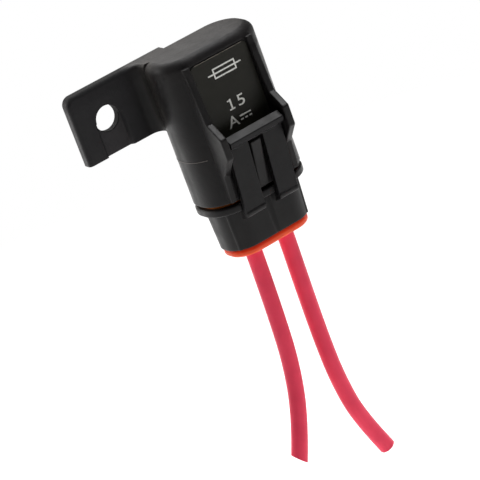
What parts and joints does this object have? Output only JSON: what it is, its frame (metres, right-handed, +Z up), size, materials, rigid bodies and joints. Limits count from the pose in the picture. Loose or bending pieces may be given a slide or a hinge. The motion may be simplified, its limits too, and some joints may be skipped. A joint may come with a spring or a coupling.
{
  "type": "fuse holder",
  "caption": "Sealed in-line blade fuse holder with a snap latch, side mounting ear, rubber seals and two wire leads cut bare.",
  "frame": {"origin": "centre of the mounting hole on the back face of the ear", "axes": "+Z up along the cover, -Y to the front with the latch and the label, +X from the ear to the cover"},
  "size_m": [0.0465, 0.0232, 0.116],
  "materials": {
    "housing_plastic": "satin black nylon",
    "label_film": "matt dark film with light grey print",
    "seal_rubber": "soft orange silicone",
    "terminal_metal": "tin plated",
    "fuse_plastic": "clear blue",
    "fuse_metal": "stamped zinc",
    "wire_insulation": "satin red PVC",
    "copper": "bare copper"
  },
  "bodies": {
    "cover": {"cover": "housing_plastic", "label": "label_film"},
    "connector": {"connector_body": "housing_plastic", "interface_seal": "seal_rubber", "wire_seal": "seal_rubber", "terminal_left": "terminal_metal", "terminal_right": "terminal_metal", "wire_left": "wire_insulation", "wire_right": "wire_insulation", "conductor_left": "copper", "conductor_right": "copper"},
    "latch": {"latch_arm": "housing_plastic"},
    "fuse": {"fuse_body": "fuse_plastic", "fuse_element": "fuse_metal"}
  },
  "joints": [
    {"name": "connector_pull", "type": "slide", "parent": "cover", "child": "connector", "axis": [0, 0, -1], "range_m": [0, 0.028], "deforming": ["latch_arm"]},
    {"name": "latch_flex", "type": "hinge", "parent": "connector", "child": "latch", "pos_m": [0.02445, -0.01775, -0.03045], "axis": [1, 0, 0], "range_deg": [0, 6], "stiffness_Nm_per_rad": 0.8},
    {"name": "fuse_pull", "type": "slide", "parent": "connector", "child": "fuse", "axis": [0, 0, 1], "range_m": [0, 0.0071]}
  ]
}
